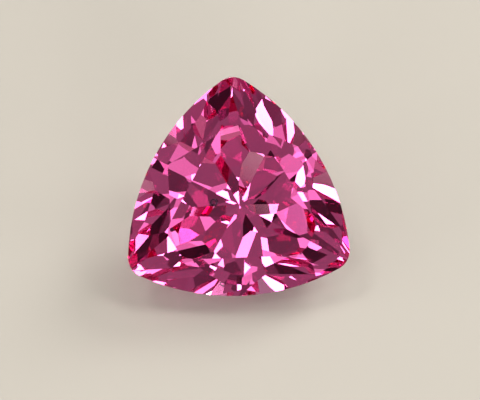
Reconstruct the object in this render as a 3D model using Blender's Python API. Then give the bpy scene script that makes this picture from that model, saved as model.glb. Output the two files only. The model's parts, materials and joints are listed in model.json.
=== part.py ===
"""A pink sapphire, trillion cut, lying on one facet of its pavilion.

The stone is worked as a gem cutter works it: a blank with the outline of the
girdle is ground facet by facet, each facet one flat cut. Lengths are in
millimetres until the stone is set down, and angles are in degrees.

In the stone's own frame the table faces +Z, the girdle lies at z = 0 and one of
the three corners points along +Y. A facet's bearing is counted from the axis of
the corner that it belongs to, and its slope from the plane of the girdle. Each
facet that is off its corner's axis has a twin on the other side.
"""

import math

import bmesh
import bpy
from mathutils import Matrix, Vector

MM = 0.001
NAME = "pink_sapphire"

# Girdle: three arcs of a curve of constant width, with rounded corners
WIDTH = 10.1
CORNER_RADIUS = 0.9
GIRDLE_THICKNESS = 0.29
SIDE_STEPS = 14
CORNER_STEPS = 5

# Heights of table and culet from the middle of the girdle
TABLE_HEIGHT = 1.25
CULET_DEPTH = 4.72

# The cut is a little off centre, as on many stones cut by hand
TABLE_CENTRE = Vector((0.14, -0.1))
CULET_PLACE = Vector((0.17, -0.11))

# Crown mains: bearing, and how far the table reaches from its centre there
CROWN_MAINS = ((0.0, 3.53), (27.0, 3.55), (51.3, 2.72))

# Stars, between one main and the next: slope, and the share of the table's
# corner that they leave
STARS = ((27.9, 0.974), (21.7, 0.965), (24.6, 0.88))

# Break facets, between one main and the next: how much steeper they are
BREAKS = (1.9, 13.9, 7.3)

# Pavilion from the culet to the girdle: bearing and slope of each facet
CULET_TIER = ((0.0, 27.1), (30.0, 35.5), (60.0, 39.8))
MIDDLE_TIER = ((13.4, 37.2), (35.3, 42.3), (60.0, 42.5))
LOWER_TIER = ((0.0, 51.6), (25.5, 44.1), (40.9, 51.9))
GIRDLE_TIER = ((15.4, 60.4), (27.3, 50.0), (60.0, 68.7))

# Where each middle facet meets the culet tier, as a share of the girdle's reach
MIDDLE_START = (0.36, 0.57, 0.68)

# How far inside the girdle the lower tier starts, and the slope up to there
LOWER_START = 0.17
LOWER_START_SLOPE = 62.0

CORNERS = (0, 1, 2)
SIDE_BEARING = 60.0
CROWN = 1
PAVILION = -1

# The stone rests on the culet facet in the middle of its lower side
RESTING_CORNER = 1
RESTING_FACET = CULET_TIER[-1]

MERGE = 0.001

COLOUR = (0.62, 0.05, 0.22, 1.0)
ROUGHNESS = 0.02
IOR = 1.77


def direction(corner, bearing):
    """Unit vector in the girdle plane, at a bearing from a corner's axis."""
    angle = math.radians(90.0 + 120.0 * corner + bearing)
    return Vector((math.cos(angle), math.sin(angle)))


def point_at(place, height):
    """Point over a place in the girdle plane."""
    return Vector((place.x, place.y, height))


def both_ways(bearing):
    """A bearing and its twin, or the bearing alone where it is its own twin."""
    return (bearing,) if bearing in (0.0, SIDE_BEARING) else (bearing, -bearing)


def sharp_corner():
    """Distance from the axis to where two side arcs would meet."""
    return WIDTH / math.sqrt(3.0)


def fillet_centre():
    """Distance from the axis to the centre of a corner's rounding."""
    far = sharp_corner()
    inner = WIDTH - CORNER_RADIUS
    return (math.sqrt(4.0 * inner * inner - 3.0 * far * far) - far) / 2.0


def fillet_end():
    """Bearing at which a corner's rounding runs into the side arc."""
    return math.degrees(math.atan2(WIDTH / 2.0, fillet_centre() + sharp_corner() / 2.0))


def reach(bearing):
    """Distance from the axis to the outline's tangent that faces a bearing."""
    bearing = abs(bearing)
    if bearing < fillet_end():
        return fillet_centre() * math.cos(math.radians(bearing)) + CORNER_RADIUS
    return WIDTH - sharp_corner() * math.cos(math.radians(SIDE_BEARING - bearing))


def outline():
    """Points of the girdle's outline, corner by corner and side by side."""
    turn = fillet_end()
    points = []
    for corner in CORNERS:
        centre = direction(corner, 0.0) * fillet_centre()
        for step in range(CORNER_STEPS):
            bearing = turn * (2.0 * step / CORNER_STEPS - 1.0)
            points.append(centre + direction(corner, bearing) * CORNER_RADIUS)
        centre = direction(corner, SIDE_BEARING + 180.0) * sharp_corner()
        for step in range(SIDE_STEPS):
            bearing = turn + 2.0 * (SIDE_BEARING - turn) * step / SIDE_STEPS
            points.append(centre + direction(corner, bearing) * WIDTH)
    return points


def blank(collection):
    """The rough blank: the girdle's outline drawn out past table and culet."""
    curve = bpy.data.curves.new("blank", "CURVE")
    curve.dimensions = "2D"
    curve.fill_mode = "BOTH"
    curve.extrude = max(TABLE_HEIGHT, CULET_DEPTH) + WIDTH / 10.0
    points = outline()
    spline = curve.splines.new("POLY")
    spline.points.add(len(points) - 1)
    for target, point in zip(spline.points, points):
        target.co = (point.x, point.y, 0.0, 1.0)
    spline.use_cyclic_u = True
    guide = bpy.data.objects.new("blank", curve)
    collection.objects.link(guide)
    depsgraph = bpy.context.evaluated_depsgraph_get()
    mesh = bpy.data.meshes.new_from_object(guide.evaluated_get(depsgraph))
    bpy.data.objects.remove(guide)
    return mesh


def facet(away, slope, through, side):
    """One flat cut: a point on it, and its outward normal.

    away is the facet's direction in the girdle plane, and side says whether it
    faces up with the crown or down with the pavilion.
    """
    angle = math.radians(slope)
    level = math.sin(angle)
    return through, Vector((away.x * level, away.y * level, side * math.cos(angle)))


def on_girdle(corner, bearing, side):
    """Point of the girdle's edge towards the crown or the pavilion."""
    place = direction(corner, bearing) * reach(bearing)
    return point_at(place, side * GIRDLE_THICKNESS / 2.0)


def crown_slope(bearing, table_edge):
    """Slope from the girdle up to a table edge that far from the axis."""
    rise = TABLE_HEIGHT - GIRDLE_THICKNESS / 2.0
    return math.degrees(math.atan2(rise, reach(bearing) - table_edge))


def table_facet():
    """The flat top of the stone."""
    yield facet(Vector((0.0, 0.0)), 0.0, point_at(TABLE_CENTRE, TABLE_HEIGHT), CROWN)


def crown_mains():
    """The large facets between the table and the girdle."""
    for corner in CORNERS:
        for bearing, table_reach in CROWN_MAINS:
            for turned in both_ways(bearing):
                away = direction(corner, turned)
                slope = crown_slope(turned, table_reach + TABLE_CENTRE.dot(away))
                yield facet(away, slope, on_girdle(corner, turned, CROWN), CROWN)


def crown_gaps():
    """Each pair of neighbouring crown mains, the last across the side's middle."""
    side_bearing, side_reach = CROWN_MAINS[-1]
    beyond = (2.0 * SIDE_BEARING - side_bearing, side_reach)
    mains = CROWN_MAINS + (beyond,)
    return tuple(zip(mains[:-1], mains[1:]))


def table_corner(bearings, reaches):
    """Place where two crown mains meet on the table, from the table's centre.

    It is the crossing of the two lines that stand at the given reaches across
    the given bearings, for the first corner.
    """
    first, second = (direction(0, bearing) for bearing in bearings)
    area = first.x * second.y - first.y * second.x
    x = (reaches[0] * second.y - reaches[1] * first.y) / area
    y = (first.x * reaches[1] - second.x * reaches[0]) / area
    return Vector((x, y))


def stars():
    """The small facets that trim each corner of the table."""
    for (first, second), (slope, share) in zip(crown_gaps(), STARS):
        middle = (first[0] + second[0]) / 2.0
        tip = table_corner((first[0], second[0]), (first[1], second[1]))
        length = tip.dot(direction(0, middle)) * share
        for corner in CORNERS:
            for turned in both_ways(middle):
                away = direction(corner, turned)
                through = point_at(TABLE_CENTRE + away * length, TABLE_HEIGHT)
                yield facet(away, slope, through, CROWN)


def break_facets():
    """The facets of the crown that stand along the girdle."""
    for (first, second), steeper in zip(crown_gaps(), BREAKS):
        middle = (first[0] + second[0]) / 2.0
        if middle == SIDE_BEARING:
            middle = (first[0] + middle) / 2.0
        slope = crown_slope(middle, first[1]) + steeper
        for corner in CORNERS:
            for turned in both_ways(middle):
                through = on_girdle(corner, turned, CROWN)
                yield facet(direction(corner, turned), slope, through, CROWN)


def culet_facet(corner, bearing, slope):
    """A facet of the pavilion that runs into the culet."""
    through = point_at(CULET_PLACE, -CULET_DEPTH)
    return facet(direction(corner, bearing), slope, through, PAVILION)


def culet_tier():
    """The facets that meet at the culet."""
    for corner in CORNERS:
        for bearing, slope in CULET_TIER:
            for turned in both_ways(bearing):
                yield culet_facet(corner, turned, slope)


def culet_tier_height(place):
    """Height of the culet tier at a place in the girdle plane."""
    heights = []
    for through, normal in culet_tier():
        gap = normal.dot(point_at(place, 0.0) - through)
        heights.append(-gap / normal.z)
    return max(heights)


def middle_tier():
    """The facets around the culet tier."""
    for (bearing, slope), share in zip(MIDDLE_TIER, MIDDLE_START):
        for corner in CORNERS:
            for turned in both_ways(bearing):
                away = direction(corner, turned)
                place = away * reach(bearing) * share
                through = point_at(place, culet_tier_height(place))
                yield facet(away, slope, through, PAVILION)


def lower_tier():
    """The steep facets below the girdle tier."""
    drop = LOWER_START * math.tan(math.radians(LOWER_START_SLOPE))
    for corner in CORNERS:
        for bearing, slope in LOWER_TIER:
            for turned in both_ways(bearing):
                away = direction(corner, turned)
                through = on_girdle(corner, turned, PAVILION)
                through -= point_at(away * LOWER_START, drop)
                yield facet(away, slope, through, PAVILION)


def girdle_tier():
    """The narrow facets of the pavilion along the girdle."""
    for corner in CORNERS:
        for bearing, slope in GIRDLE_TIER:
            for turned in both_ways(bearing):
                through = on_girdle(corner, turned, PAVILION)
                yield facet(direction(corner, turned), slope, through, PAVILION)


def grind(stone, through, normal):
    """Cut away what stands outside one facet, and close the stone there."""
    bmesh.ops.bisect_plane(
        stone,
        geom=stone.verts[:] + stone.edges[:] + stone.faces[:],
        dist=MERGE / 10.0,
        plane_co=through,
        plane_no=normal,
        clear_outer=True,
    )
    rim = [edge for edge in stone.edges if edge.is_boundary]
    if rim:
        bmesh.ops.holes_fill(stone, edges=rim, sides=0)


def cut_stone(mesh):
    """Grind every facet into the blank, from the table down to the girdle."""
    stone = bmesh.new()
    stone.from_mesh(mesh)
    bmesh.ops.remove_doubles(stone, verts=stone.verts[:], dist=MERGE)
    tiers = (
        table_facet,
        crown_mains,
        stars,
        break_facets,
        culet_tier,
        middle_tier,
        lower_tier,
        girdle_tier,
    )
    for tier in tiers:
        for through, normal in tier():
            grind(stone, through, normal)
    bmesh.ops.remove_doubles(stone, verts=stone.verts[:], dist=MERGE)
    bmesh.ops.recalc_face_normals(stone, faces=stone.faces[:])
    bmesh.ops.scale(stone, vec=(MM, MM, MM), verts=stone.verts[:])
    stone.to_mesh(mesh)
    stone.free()


def set_down(stone):
    """Turn the resting facet to face straight down, and stand it on the floor.

    The origin ends up under the middle of the stone's box.
    """
    _, normal = culet_facet(RESTING_CORNER, *RESTING_FACET)
    to_front = Matrix.Rotation(-math.pi / 2.0 - math.atan2(normal.y, normal.x), 4, "Z")
    tilt = Matrix.Rotation(math.radians(RESTING_FACET[1]), 4, "X")
    turn = tilt @ to_front
    corners = [turn @ vertex.co for vertex in stone.data.vertices]
    low = [min(point[axis] for point in corners) for axis in range(3)]
    high = [max(point[axis] for point in corners) for axis in range(3)]
    stone.rotation_euler = turn.to_euler()
    stone.location = (-(low[0] + high[0]) / 2.0, -(low[1] + high[1]) / 2.0, -low[2])


def sapphire_material():
    """Clear pink crystal."""
    material = bpy.data.materials.new("clear_pink_crystal")
    material.use_nodes = True
    shader = material.node_tree.nodes["Principled BSDF"]
    shader.inputs["Base Color"].default_value = COLOUR
    shader.inputs["Metallic"].default_value = 0.0
    shader.inputs["Roughness"].default_value = ROUGHNESS
    shader.inputs["IOR"].default_value = IOR
    shader.inputs["Transmission Weight"].default_value = 1.0
    return material


def clear_scene():
    """Start from an empty scene."""
    for old in list(bpy.data.objects):
        bpy.data.objects.remove(old)


def main():
    """Cut the sapphire and lay it down."""
    clear_scene()
    collection = bpy.data.collections.new(NAME)
    bpy.context.scene.collection.children.link(collection)
    mesh = blank(collection)
    mesh.name = NAME
    mesh.materials.clear()
    mesh.materials.append(sapphire_material())
    cut_stone(mesh)
    stone = bpy.data.objects.new(NAME, mesh)
    collection.objects.link(stone)
    set_down(stone)


main()
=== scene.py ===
"""Looks of a trillion cut pink sapphire that lies on one facet of its pavilion.

The stone's own solid stays as it is and gets its crystal: clear, strongly
refracting, pink by absorption, with polished facets and a satin girdle. The
stage is a pale floor under round soft lamps of many sizes in a dim room.
"""

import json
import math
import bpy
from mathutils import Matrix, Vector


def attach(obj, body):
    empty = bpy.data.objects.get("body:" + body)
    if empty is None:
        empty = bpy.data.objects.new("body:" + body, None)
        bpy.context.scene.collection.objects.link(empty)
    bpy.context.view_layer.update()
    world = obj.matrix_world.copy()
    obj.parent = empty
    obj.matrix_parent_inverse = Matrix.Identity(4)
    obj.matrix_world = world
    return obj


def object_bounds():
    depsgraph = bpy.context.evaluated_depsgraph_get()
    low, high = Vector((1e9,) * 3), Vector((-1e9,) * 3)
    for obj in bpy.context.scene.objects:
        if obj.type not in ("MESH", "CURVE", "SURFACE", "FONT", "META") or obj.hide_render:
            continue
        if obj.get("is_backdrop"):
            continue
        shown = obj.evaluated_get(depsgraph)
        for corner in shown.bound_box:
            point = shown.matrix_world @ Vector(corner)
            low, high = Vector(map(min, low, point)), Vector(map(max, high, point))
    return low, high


bl_info = {
    "name": "Pink sapphire",
    "version": (1, 0, 0),
    "blender": (4, 5, 0),
    "location": "View3D > Sidebar > Sapphire",
    "description": "Dresses a trillion cut pink sapphire and sets up its stage",
    "category": "Material",
}

import bpy
import numpy as np
from bpy.props import FloatProperty, FloatVectorProperty, PointerProperty
from mathutils import Vector

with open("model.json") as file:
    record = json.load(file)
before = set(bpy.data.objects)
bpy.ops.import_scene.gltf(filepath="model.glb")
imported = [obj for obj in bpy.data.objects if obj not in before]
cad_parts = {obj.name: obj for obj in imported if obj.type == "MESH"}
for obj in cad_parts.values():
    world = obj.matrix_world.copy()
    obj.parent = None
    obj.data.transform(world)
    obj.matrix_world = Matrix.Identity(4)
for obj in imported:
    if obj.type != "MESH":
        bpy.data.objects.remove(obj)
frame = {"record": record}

STONE = "pink_sapphire"
INCLUSION = "dark_inclusion_ring"
MM = 0.001

CAD_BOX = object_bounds()
MOUNTS = {mount["name"]: mount for mount in frame["record"]["mounts"]}
TABLE_CENTRE = Vector(MOUNTS["table_facet"]["pos_m"])
TABLE_NORMAL = Vector(MOUNTS["table_facet"]["axis"])

# Depth of the girdle's middle below the table, and half the girdle's thickness
GIRDLE_DEPTH = 1.25 * MM
GIRDLE_HALF = 0.145 * MM

# Lengths of the unevenness of polish, the frost on the girdle and the inclusion's grain
POLISH_GRAIN = 0.4 * MM
FROST_GRAIN = 0.03 * MM
FROST_DEPTH = 0.01 * MM
FROST_STRENGTH = 0.6
INCLUSION_GRAIN = 0.05 * MM

# Windows, seen through the stone but not mirrored by its facets: azimuth, elevation
# and half angle as the stone sees them, in degrees, and brightness
WINDOWS = (
    (21.5, 7.0, 13.4, 7.7),
    (52.0, 4.7, 8.1, 8.0),
    (95.0, 55.3, 10.5, 6.1),
    (149.5, 67.0, 11.3, 4.0),
    (61.7, 21.0, 7.5, 2.9),
    (-98.5, 47.3, 4.2, 2.7),
    (89.3, 26.3, 9.4, 2.2),
    (84.7, 42.7, 10.7, 2.8),
    (-88.0, 23.5, 14.3, 1.7),
    (-32.7, 4.5, 7.7, 7.8),
    (-65.0, 4.0, 8.0, 12.0),
    (10.0, 16.0, 8.0, 9.0),
    (-36.0, 40.0, 4.0, 9.0),
    (-36.0, 60.0, 4.0, 9.0),
    (-65.0, 28.0, 4.0, 10.0),
    (-24.0, 68.0, 4.0, 10.0),
    (25.0, 28.0, 4.0, 9.0),
    (-125.0, 64.0, 8.0, 9.0),
    (-103.0, 64.0, 4.0, 10.0),
    (-48.0, 60.0, 3.0, 4.0),
)

# Windows that the facets also mirror
MIRRORED_WINDOWS = (
    (-19.0, 51.0, 8.8, 1.6),
    (-38.3, 26.8, 7.9, 4.3),
    (-5.4, 33.8, 11.9, 0.8),
    (8.7, 35.0, 8.7, 0.8),
    (43.4, 62.2, 5.4, 0.9),
)

# The key lamp makes the soft shadow at the lower left; the facets don't mirror it
KEY_LAMP = (128.0, 35.0, 12.0, 14.0)

LAMP_DISTANCE = 400.0 * MM
LAMP_COLOUR = (1.0, 1.0, 1.12)

# Dark places of the room: azimuth, elevation, half angle and brightness
DARK_PLACES = (
    (13.3, 53.0, 14.7, 0.15),
    (-29.0, 45.0, 10.4, 0.03),
    (-45.0, 72.4, 6.0, 0.04),
    (32.0, 40.0, 11.4, 0.2),
    (-31.2, 32.2, 4.0, 0.05),
    (65.8, 57.0, 4.1, 0.19),
    (30.5, 85.7, 5.2, 0.14),
    (75.4, 26.0, 12.3, 0.08),
    (-125.0, 64.0, 12.0, 0.03),
    (-65.0, 12.0, 14.0, 0.03),
)

# How far a dark place's soft rim reaches to either side, as a share of its half angle
RIM = 0.1

# How often light may turn inside the stone
BOUNCES = 20

FLOOR_RADIUS = 0.6
FLOOR_RINGS = 24
FLOOR_SPOKES = 64

# Steps round the inclusion's ring and its tube, and how uneven the tube is
RING_STEPS = 28
TUBE_STEPS = 12
RING_UNEVEN = 0.35

# The stone stands on a film of air this thick, so it doesn't share a face with the floor
AIR_FILM = 0.02 * MM


class Socket:
    """A number in a node tree; arithmetic on it adds Math nodes."""

    def __init__(self, tree, socket):
        self.tree = tree
        self.socket = socket

    def _math(self, operation, *values):
        result = add_node(self.tree, "ShaderNodeMath", {"operation": operation}, values)
        return Socket(self.tree, result.outputs[0])

    def __add__(self, other):
        return self._math("ADD", self, other)

    def __radd__(self, other):
        return self._math("ADD", other, self)

    def __sub__(self, other):
        return self._math("SUBTRACT", self, other)

    def __rsub__(self, other):
        return self._math("SUBTRACT", other, self)

    def __mul__(self, other):
        return self._math("MULTIPLY", self, other)

    def __rmul__(self, other):
        return self._math("MULTIPLY", other, self)

    def magnitude(self):
        return self._math("ABSOLUTE", self)

    def below(self, limit):
        return self._math("LESS_THAN", self, limit)

    def rises(self, low, high):
        """0 below one value, 1 above another, and a smooth step between them."""
        result = add_node(
            self.tree,
            "ShaderNodeMapRange",
            {"interpolation_type": "SMOOTHSTEP"},
            {"Value": self, "From Min": low, "From Max": high},
        )
        return Socket(self.tree, result.outputs[0])


def add_node(tree, kind, settings=None, values=()):
    """Add a node: its settings first, then its inputs by position or by name."""
    node = tree.nodes.new(kind)
    for key, setting in (settings or {}).items():
        setattr(node, key, setting)
    pairs = values.items() if isinstance(values, dict) else enumerate(values)
    for key, value in pairs:
        target = node.inputs[key]
        if isinstance(value, Socket):
            tree.links.new(value.socket, target)
        elif isinstance(value, bpy.types.NodeSocket):
            tree.links.new(value, target)
        else:
            target.default_value = value
    return node


def new_material(name):
    """An empty node material and its tree."""
    material = bpy.data.materials.new(name)
    material.use_nodes = True
    material.node_tree.nodes.clear()
    return material, material.node_tree


def along(tree, vector, axis):
    """How far a vector reaches along an axis."""
    result = add_node(
        tree,
        "ShaderNodeVectorMath",
        {"operation": "DOT_PRODUCT"},
        (vector, tuple(axis)),
    )
    return Socket(tree, result.outputs["Value"])


def mixed(tree, share, first, second):
    """The first colour, and the second in its place where the share is 1."""
    result = add_node(
        tree,
        "ShaderNodeMix",
        {"data_type": "RGBA"},
        {0: share, 6: first, 7: second},
    )
    return Socket(tree, result.outputs[2])


def depth_below_table(tree):
    """Distance of the shaded point below the table, in metres."""
    place = add_node(tree, "ShaderNodeTexCoord").outputs["Object"]
    offset = add_node(
        tree,
        "ShaderNodeVectorMath",
        {"operation": "SUBTRACT"},
        (tuple(TABLE_CENTRE), place),
    ).outputs["Vector"]
    return along(tree, offset, TABLE_NORMAL)


def crystal_material(settings):
    """Pink corundum: polished facets, a satin girdle, and colour by absorption."""
    material, tree = new_material("pink_sapphire_crystal")
    from_girdle = (depth_below_table(tree) - GIRDLE_DEPTH).magnitude()
    on_girdle = from_girdle.below(GIRDLE_HALF)
    place = add_node(tree, "ShaderNodeTexCoord").outputs["Object"]
    lap = add_node(
        tree,
        "ShaderNodeTexNoise",
        {"noise_dimensions": "3D"},
        {"Vector": place, "Scale": 1.0 / POLISH_GRAIN, "Detail": 3.0},
    )
    grain = add_node(
        tree,
        "ShaderNodeTexNoise",
        {"noise_dimensions": "3D"},
        {"Vector": place, "Scale": 1.0 / FROST_GRAIN, "Detail": 2.0},
    )
    polish = Socket(tree, lap.outputs[0]).rises(0.4, 0.8) * settings.polish
    roughness = on_girdle * settings.girdle_roughness + polish
    frosted = add_node(
        tree,
        "ShaderNodeBump",
        {},
        {
            "Strength": FROST_STRENGTH,
            "Distance": FROST_DEPTH,
            "Height": Socket(tree, grain.outputs[0]) * on_girdle,
        },
    )
    surface = add_node(
        tree,
        "ShaderNodeBsdfPrincipled",
        {},
        {
            "Base Color": (1.0, 1.0, 1.0, 1.0),
            "Metallic": 0.0,
            "Roughness": roughness,
            "IOR": settings.ior,
            "Transmission Weight": 1.0,
            "Normal": frosted.outputs[0],
        },
    )
    absorption = add_node(
        tree,
        "ShaderNodeVolumeAbsorption",
        {},
        {"Color": (*settings.tint, 1.0), "Density": settings.depth_of_colour},
    )
    add_node(
        tree,
        "ShaderNodeOutputMaterial",
        {},
        {"Surface": surface.outputs[0], "Volume": absorption.outputs[0]},
    )
    return material


def inclusion_material(settings):
    """Dark mineral grain: a violet brown that a fine noise makes uneven."""
    material, tree = new_material("dark_inclusion")
    place = add_node(tree, "ShaderNodeTexCoord").outputs["Object"]
    grain = add_node(
        tree,
        "ShaderNodeTexNoise",
        {"noise_dimensions": "3D"},
        {"Vector": place, "Scale": 1.0 / INCLUSION_GRAIN, "Detail": 2.0},
    )
    share = Socket(tree, grain.outputs[0]).rises(0.35, 0.65)
    deep = (*settings.deep_colour, 1.0)
    light = (*settings.light_colour, 1.0)
    surface = add_node(
        tree,
        "ShaderNodeBsdfPrincipled",
        {},
        {"Base Color": mixed(tree, share, deep, light), "Roughness": share * 0.3 + 0.4},
    )
    add_node(tree, "ShaderNodeOutputMaterial", {}, {"Surface": surface.outputs[0]})
    return material


def floor_material(settings):
    """Plain matt floor."""
    material, tree = new_material("pale_floor")
    surface = add_node(
        tree,
        "ShaderNodeBsdfPrincipled",
        {},
        {"Base Color": (*settings.floor_colour, 1.0), "Roughness": 0.9},
    )
    add_node(tree, "ShaderNodeOutputMaterial", {}, {"Surface": surface.outputs[0]})
    return material


def ring_mesh(name, centre, across, along_axis, radius, thickness):
    """A closed ring: centre, plus the ring's radius and the tube's cosine along a
    direction that turns in the ring's plane, plus the tube's sine along its axis."""
    turn, spin = np.meshgrid(
        np.linspace(0.0, 2.0 * math.pi, RING_STEPS, endpoint=False),
        np.linspace(0.0, 2.0 * math.pi, TUBE_STEPS, endpoint=False),
        indexing="ij",
    )
    tube = thickness * (1.0 + RING_UNEVEN * np.sin(2.0 * turn + 0.7))
    out = radius + tube * np.cos(spin)
    axis = np.cross(across, along_axis)
    points = (
        np.array(centre)
        + (out * np.cos(turn))[..., None] * np.array(across)
        + (out * np.sin(turn))[..., None] * np.array(along_axis)
        + (tube * np.sin(spin))[..., None] * axis
    )
    index = np.arange(RING_STEPS * TUBE_STEPS).reshape(RING_STEPS, TUBE_STEPS)
    ahead = np.roll(index, -1, axis=0)
    beside = np.roll(index, -1, axis=1)
    faces = np.stack([index, ahead, np.roll(ahead, -1, axis=1), beside], axis=-1)
    mesh = bpy.data.meshes.new(name)
    mesh.from_pydata(points.reshape(-1, 3).tolist(), [], faces.reshape(-1, 4).tolist())
    return mesh


def floor_mesh():
    """A flat disc just below zero: radius times the cosine and sine of an angle."""
    ring = np.linspace(0.0, FLOOR_RADIUS, FLOOR_RINGS + 1)[1:, None]
    angle = np.linspace(0.0, 2.0 * math.pi, FLOOR_SPOKES, endpoint=False)[None, :]
    x = ring * np.cos(angle)
    y = ring * np.sin(angle)
    z = np.full_like(x, -AIR_FILM)
    points = np.stack([x, y, z], axis=-1).reshape(-1, 3)
    points = np.vstack([points, [[0.0, 0.0, -AIR_FILM]]])
    index = np.arange(FLOOR_RINGS * FLOOR_SPOKES).reshape(FLOOR_RINGS, FLOOR_SPOKES)
    turned = np.roll(index, -1, axis=1)
    quads = np.stack([index[:-1], index[1:], turned[1:], turned[:-1]], axis=-1)
    hub = np.full(FLOOR_SPOKES, len(points) - 1)
    fan = np.stack([hub, index[0], turned[0]], axis=-1)
    mesh = bpy.data.meshes.new("floor")
    mesh.from_pydata(points.tolist(), [], quads.reshape(-1, 4).tolist() + fan.tolist())
    return mesh


def away(azimuth, elevation):
    """Unit vector at an azimuth counted from -Y towards +X, and an elevation."""
    around = math.radians(azimuth)
    up = math.radians(elevation)
    level = math.cos(up)
    return Vector((math.sin(around) * level, -math.cos(around) * level, math.sin(up)))


def add_lamp(name, azimuth, elevation, half_angle, brightness, target):
    """A round soft lamp that faces the stone and fills the given half angle."""
    radius = LAMP_DISTANCE * math.tan(math.radians(half_angle))
    light = bpy.data.lights.new(name, "AREA")
    light.shape = "DISK"
    light.size = 2.0 * radius
    light.color = LAMP_COLOUR
    light.energy = brightness * math.pi * math.pi * radius * radius
    lamp = bpy.data.objects.new(name, light)
    direction = away(azimuth, elevation)
    lamp.location = target + direction * LAMP_DISTANCE
    lamp.rotation_euler = direction.to_track_quat("Z", "Y").to_euler()
    bpy.context.scene.collection.objects.link(lamp)
    return lamp


def add_camera(settings, target):
    """A long lens at the photograph's angle; the target sits near the middle."""
    data = bpy.data.cameras.new("camera")
    data.sensor_width = 36.0
    data.lens = data.sensor_width * settings.camera_distance / settings.view_width
    data.clip_start = 0.001
    camera = bpy.data.objects.new("camera", data)
    back = away(settings.camera_azimuth, settings.camera_elevation)
    camera.rotation_euler = back.to_track_quat("Z", "Y").to_euler()
    turn = back.to_track_quat("Z", "Y").to_matrix()
    slide = turn @ Vector((settings.slide_right, settings.slide_up, 0.0))
    camera.location = target + slide + back * settings.camera_distance
    bpy.context.scene.collection.objects.link(camera)
    bpy.context.scene.camera = camera


def near(tree, looking, azimuth, elevation, half_angle):
    """1 inside a cone around a direction, 0 outside it, with a soft rim."""
    outer = math.cos(math.radians((1.0 + RIM) * half_angle))
    inner = math.cos(math.radians((1.0 - RIM) * half_angle))
    return along(tree, looking, away(azimuth, elevation)).rises(outer, inner)


def lit(level, colour):
    """A colour at a brightness, with full alpha."""
    return (*(level * part for part in colour), 1.0)


def surrounding_room(settings):
    """The room as the stone sees it: front, back and dark places.

    The facets don't mirror it, and the viewer sees a plain pale wall in its place.
    """
    world = bpy.data.worlds.new("room")
    bpy.context.scene.world = world
    world.use_nodes = True
    world.cycles_visibility.glossy = False
    tree = world.node_tree
    tree.nodes.clear()
    looking = add_node(tree, "ShaderNodeTexCoord").outputs["Generated"]
    front = along(tree, looking, (0.0, -1.0, 0.0)).rises(-0.5, 0.5)
    tone = settings.room_colour
    room = mixed(tree, front, lit(settings.room_back, tone), lit(settings.room_front, tone))
    for azimuth, elevation, half_angle, level in DARK_PLACES:
        share = near(tree, looking, azimuth, elevation, half_angle)
        room = mixed(tree, share, room, lit(level, tone))
    seen = add_node(tree, "ShaderNodeLightPath").outputs["Is Camera Ray"]
    room = mixed(tree, seen, room, (*settings.wall_colour, 1.0))
    background = add_node(tree, "ShaderNodeBackground", {}, {"Color": room})
    add_node(tree, "ShaderNodeOutputWorld", {}, {"Surface": background.outputs[0]})


class CrystalSettings(bpy.types.PropertyGroup):
    """What the crystal is like."""

    tint: FloatVectorProperty(
        name="Tint",
        description="Colour that the crystal lets through",
        subtype="COLOR",
        size=3,
        min=0.0,
        max=1.0,
        default=(0.91, 0.2, 0.6),
    )
    depth_of_colour: FloatProperty(
        name="Depth of colour",
        description="How fast the crystal takes up light, per metre",
        default=200.0,
        min=0.0,
    )
    ior: FloatProperty(
        name="Index of refraction",
        description="Index of refraction of corundum",
        default=1.77,
        min=1.0,
        max=3.0,
    )
    polish: FloatProperty(
        name="Polish",
        description="Roughness where the polish of the facets is weakest",
        default=0.015,
        min=0.0,
        max=1.0,
    )
    girdle_roughness: FloatProperty(
        name="Girdle",
        description="Roughness of the satin girdle",
        default=0.3,
        min=0.0,
        max=1.0,
    )


class InclusionSettings(bpy.types.PropertyGroup):
    """What the inclusion under the table is like."""

    across: FloatProperty(
        name="Across",
        description="Place to the right of the table's middle",
        default=-0.0012,
        unit="LENGTH",
        precision=5,
    )
    up: FloatProperty(
        name="Up",
        description="Place up the table's slope",
        default=0.0001,
        unit="LENGTH",
        precision=5,
    )
    depth: FloatProperty(
        name="Depth",
        description="Depth under the table",
        default=0.0005,
        unit="LENGTH",
        precision=5,
    )
    radius: FloatProperty(
        name="Radius",
        description="Radius of the ring",
        default=0.000135,
        unit="LENGTH",
        precision=5,
    )
    thickness: FloatProperty(
        name="Thickness",
        description="Radius of the ring's tube",
        default=0.00005,
        unit="LENGTH",
        precision=5,
    )
    deep_colour: FloatVectorProperty(
        name="Deep colour",
        description="Darkest colour of the grain",
        subtype="COLOR",
        size=3,
        min=0.0,
        max=1.0,
        default=(0.03, 0.005, 0.02),
    )
    light_colour: FloatVectorProperty(
        name="Light colour",
        description="Lightest colour of the grain",
        subtype="COLOR",
        size=3,
        min=0.0,
        max=1.0,
        default=(0.12, 0.03, 0.08),
    )


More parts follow.
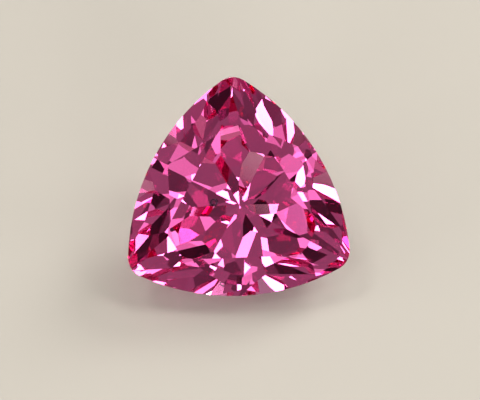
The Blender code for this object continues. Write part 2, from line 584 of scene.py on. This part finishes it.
class StageSettings(bpy.types.PropertyGroup):
    """What the stage is like, and where the camera stands."""

    floor_colour: FloatVectorProperty(
        name="Floor",
        description="Colour of the floor",
        subtype="COLOR",
        size=3,
        min=0.0,
        max=1.0,
        default=(0.395, 0.366, 0.288),
    )
    wall_colour: FloatVectorProperty(
        name="Wall",
        description="Colour of the wall behind the floor",
        subtype="COLOR",
        size=3,
        min=0.0,
        max=1.0,
        default=(0.70, 0.64, 0.55),
    )
    room_colour: FloatVectorProperty(
        name="Room",
        description="Tone of the light that the room gives",
        subtype="COLOR",
        size=3,
        min=0.0,
        max=2.0,
        default=(1.0, 0.96, 0.94),
    )
    room_front: FloatProperty(
        name="Front of the room",
        description="Brightness of the room's front half",
        default=0.38,
        min=0.0,
    )
    room_back: FloatProperty(
        name="Back of the room",
        description="Brightness of the room's back half",
        default=0.48,
        min=0.0,
    )
    camera_azimuth: FloatProperty(
        name="Camera azimuth",
        description="Degrees from the front towards the right",
        default=-2.8,
    )
    camera_elevation: FloatProperty(
        name="Camera elevation",
        description="Degrees above the floor",
        default=49.4,
    )
    camera_distance: FloatProperty(
        name="Camera distance",
        description="Distance from the stone",
        default=0.12,
        unit="LENGTH",
    )
    view_width: FloatProperty(
        name="View width",
        description="Width that the picture shows at the stone",
        default=480.0 / 22.0 * MM,
        unit="LENGTH",
        precision=5,
    )
    slide_right: FloatProperty(
        name="Slide right",
        description="How far the view is moved right of the stone's middle",
        default=0.0,
        unit="LENGTH",
        precision=5,
    )
    slide_up: FloatProperty(
        name="Slide up",
        description="How far the view is moved above the stone's middle",
        default=0.00018,
        unit="LENGTH",
        precision=5,
    )


class SAPPHIRE_OT_crystal(bpy.types.Operator):
    """Give the stone its crystal"""

    bl_idname = "sapphire.crystal"
    bl_label = "Dress the crystal"

    def execute(self, context):
        stone = bpy.data.objects[STONE]
        material = crystal_material(context.scene.sapphire_crystal)
        if not stone.material_slots:
            stone.data.materials.append(material)
        for slot in stone.material_slots:
            slot.material = material
        return {"FINISHED"}


class SAPPHIRE_OT_inclusion(bpy.types.Operator):
    """Grow the small dark ring under the table"""

    bl_idname = "sapphire.inclusion"
    bl_label = "Grow the inclusion"

    def execute(self, context):
        settings = context.scene.sapphire_inclusion
        right = Vector((1.0, 0.0, 0.0))
        upward = TABLE_NORMAL.cross(right).normalized()
        centre = TABLE_CENTRE - TABLE_NORMAL * settings.depth
        centre = centre + right * settings.across + upward * settings.up
        mesh = ring_mesh(
            INCLUSION, centre, right, upward, settings.radius, settings.thickness
        )
        ring = bpy.data.objects.new(INCLUSION, mesh)
        mesh.polygons.foreach_set("use_smooth", [True] * len(mesh.polygons))
        mesh.materials.append(inclusion_material(settings))
        context.scene.collection.objects.link(ring)
        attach(ring, "root")
        return {"FINISHED"}


class SAPPHIRE_OT_stage(bpy.types.Operator):
    """Lay the floor and set up lamps, room and camera"""

    bl_idname = "sapphire.stage"
    bl_label = "Set the stage"

    def execute(self, context):
        settings = context.scene.sapphire_stage
        floor = bpy.data.objects.new("floor", floor_mesh())
        floor.data.materials.append(floor_material(settings))
        context.scene.collection.objects.link(floor)
        floor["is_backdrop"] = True
        floor.visible_glossy = False
        target = girdle_centre()
        for number, window in enumerate(WINDOWS + MIRRORED_WINDOWS):
            lamp = add_lamp(f"window_{number}", *window, target)
            lamp.visible_glossy = window in MIRRORED_WINDOWS
        key = add_lamp("key_lamp", *KEY_LAMP, target)
        key.visible_glossy = False
        surrounding_room(settings)
        add_camera(settings, target)
        scene = context.scene
        scene.view_settings.view_transform = "Standard"
        scene.cycles.max_bounces = BOUNCES
        scene.cycles.glossy_bounces = BOUNCES
        scene.cycles.transmission_bounces = BOUNCES
        return {"FINISHED"}


def girdle_centre():
    """Middle of the girdle, straight below the table."""
    return TABLE_CENTRE - TABLE_NORMAL * GIRDLE_DEPTH


class SAPPHIRE_PT_panel(bpy.types.Panel):
    """Settings and steps of the pink sapphire"""

    bl_idname = "SAPPHIRE_PT_panel"
    bl_label = "Pink sapphire"
    bl_space_type = "VIEW_3D"
    bl_region_type = "UI"
    bl_category = "Sapphire"

    def draw(self, context):
        for group, operator in (
            (context.scene.sapphire_crystal, SAPPHIRE_OT_crystal),
            (context.scene.sapphire_inclusion, SAPPHIRE_OT_inclusion),
            (context.scene.sapphire_stage, SAPPHIRE_OT_stage),
        ):
            column = self.layout.column()
            for key in group.__annotations__:
                column.prop(group, key)
            column.operator(operator.bl_idname)


CLASSES = (
    CrystalSettings,
    InclusionSettings,
    StageSettings,
    SAPPHIRE_OT_crystal,
    SAPPHIRE_OT_inclusion,
    SAPPHIRE_OT_stage,
    SAPPHIRE_PT_panel,
)


def register():
    for cls in CLASSES:
        bpy.utils.register_class(cls)
    bpy.types.Scene.sapphire_crystal = PointerProperty(type=CrystalSettings)
    bpy.types.Scene.sapphire_inclusion = PointerProperty(type=InclusionSettings)
    bpy.types.Scene.sapphire_stage = PointerProperty(type=StageSettings)


def unregister():
    del bpy.types.Scene.sapphire_stage
    del bpy.types.Scene.sapphire_inclusion
    del bpy.types.Scene.sapphire_crystal
    for cls in reversed(CLASSES):
        bpy.utils.unregister_class(cls)


def main():
    """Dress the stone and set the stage."""
    register()
    bpy.ops.sapphire.crystal()
    bpy.ops.sapphire.inclusion()
    bpy.ops.sapphire.stage()
    sizes = {"cad": CAD_BOX, "visual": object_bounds()}
    sizes = {key: [list(corner) for corner in box] for key, box in sizes.items()}


if __name__ == "__main__":
    main()
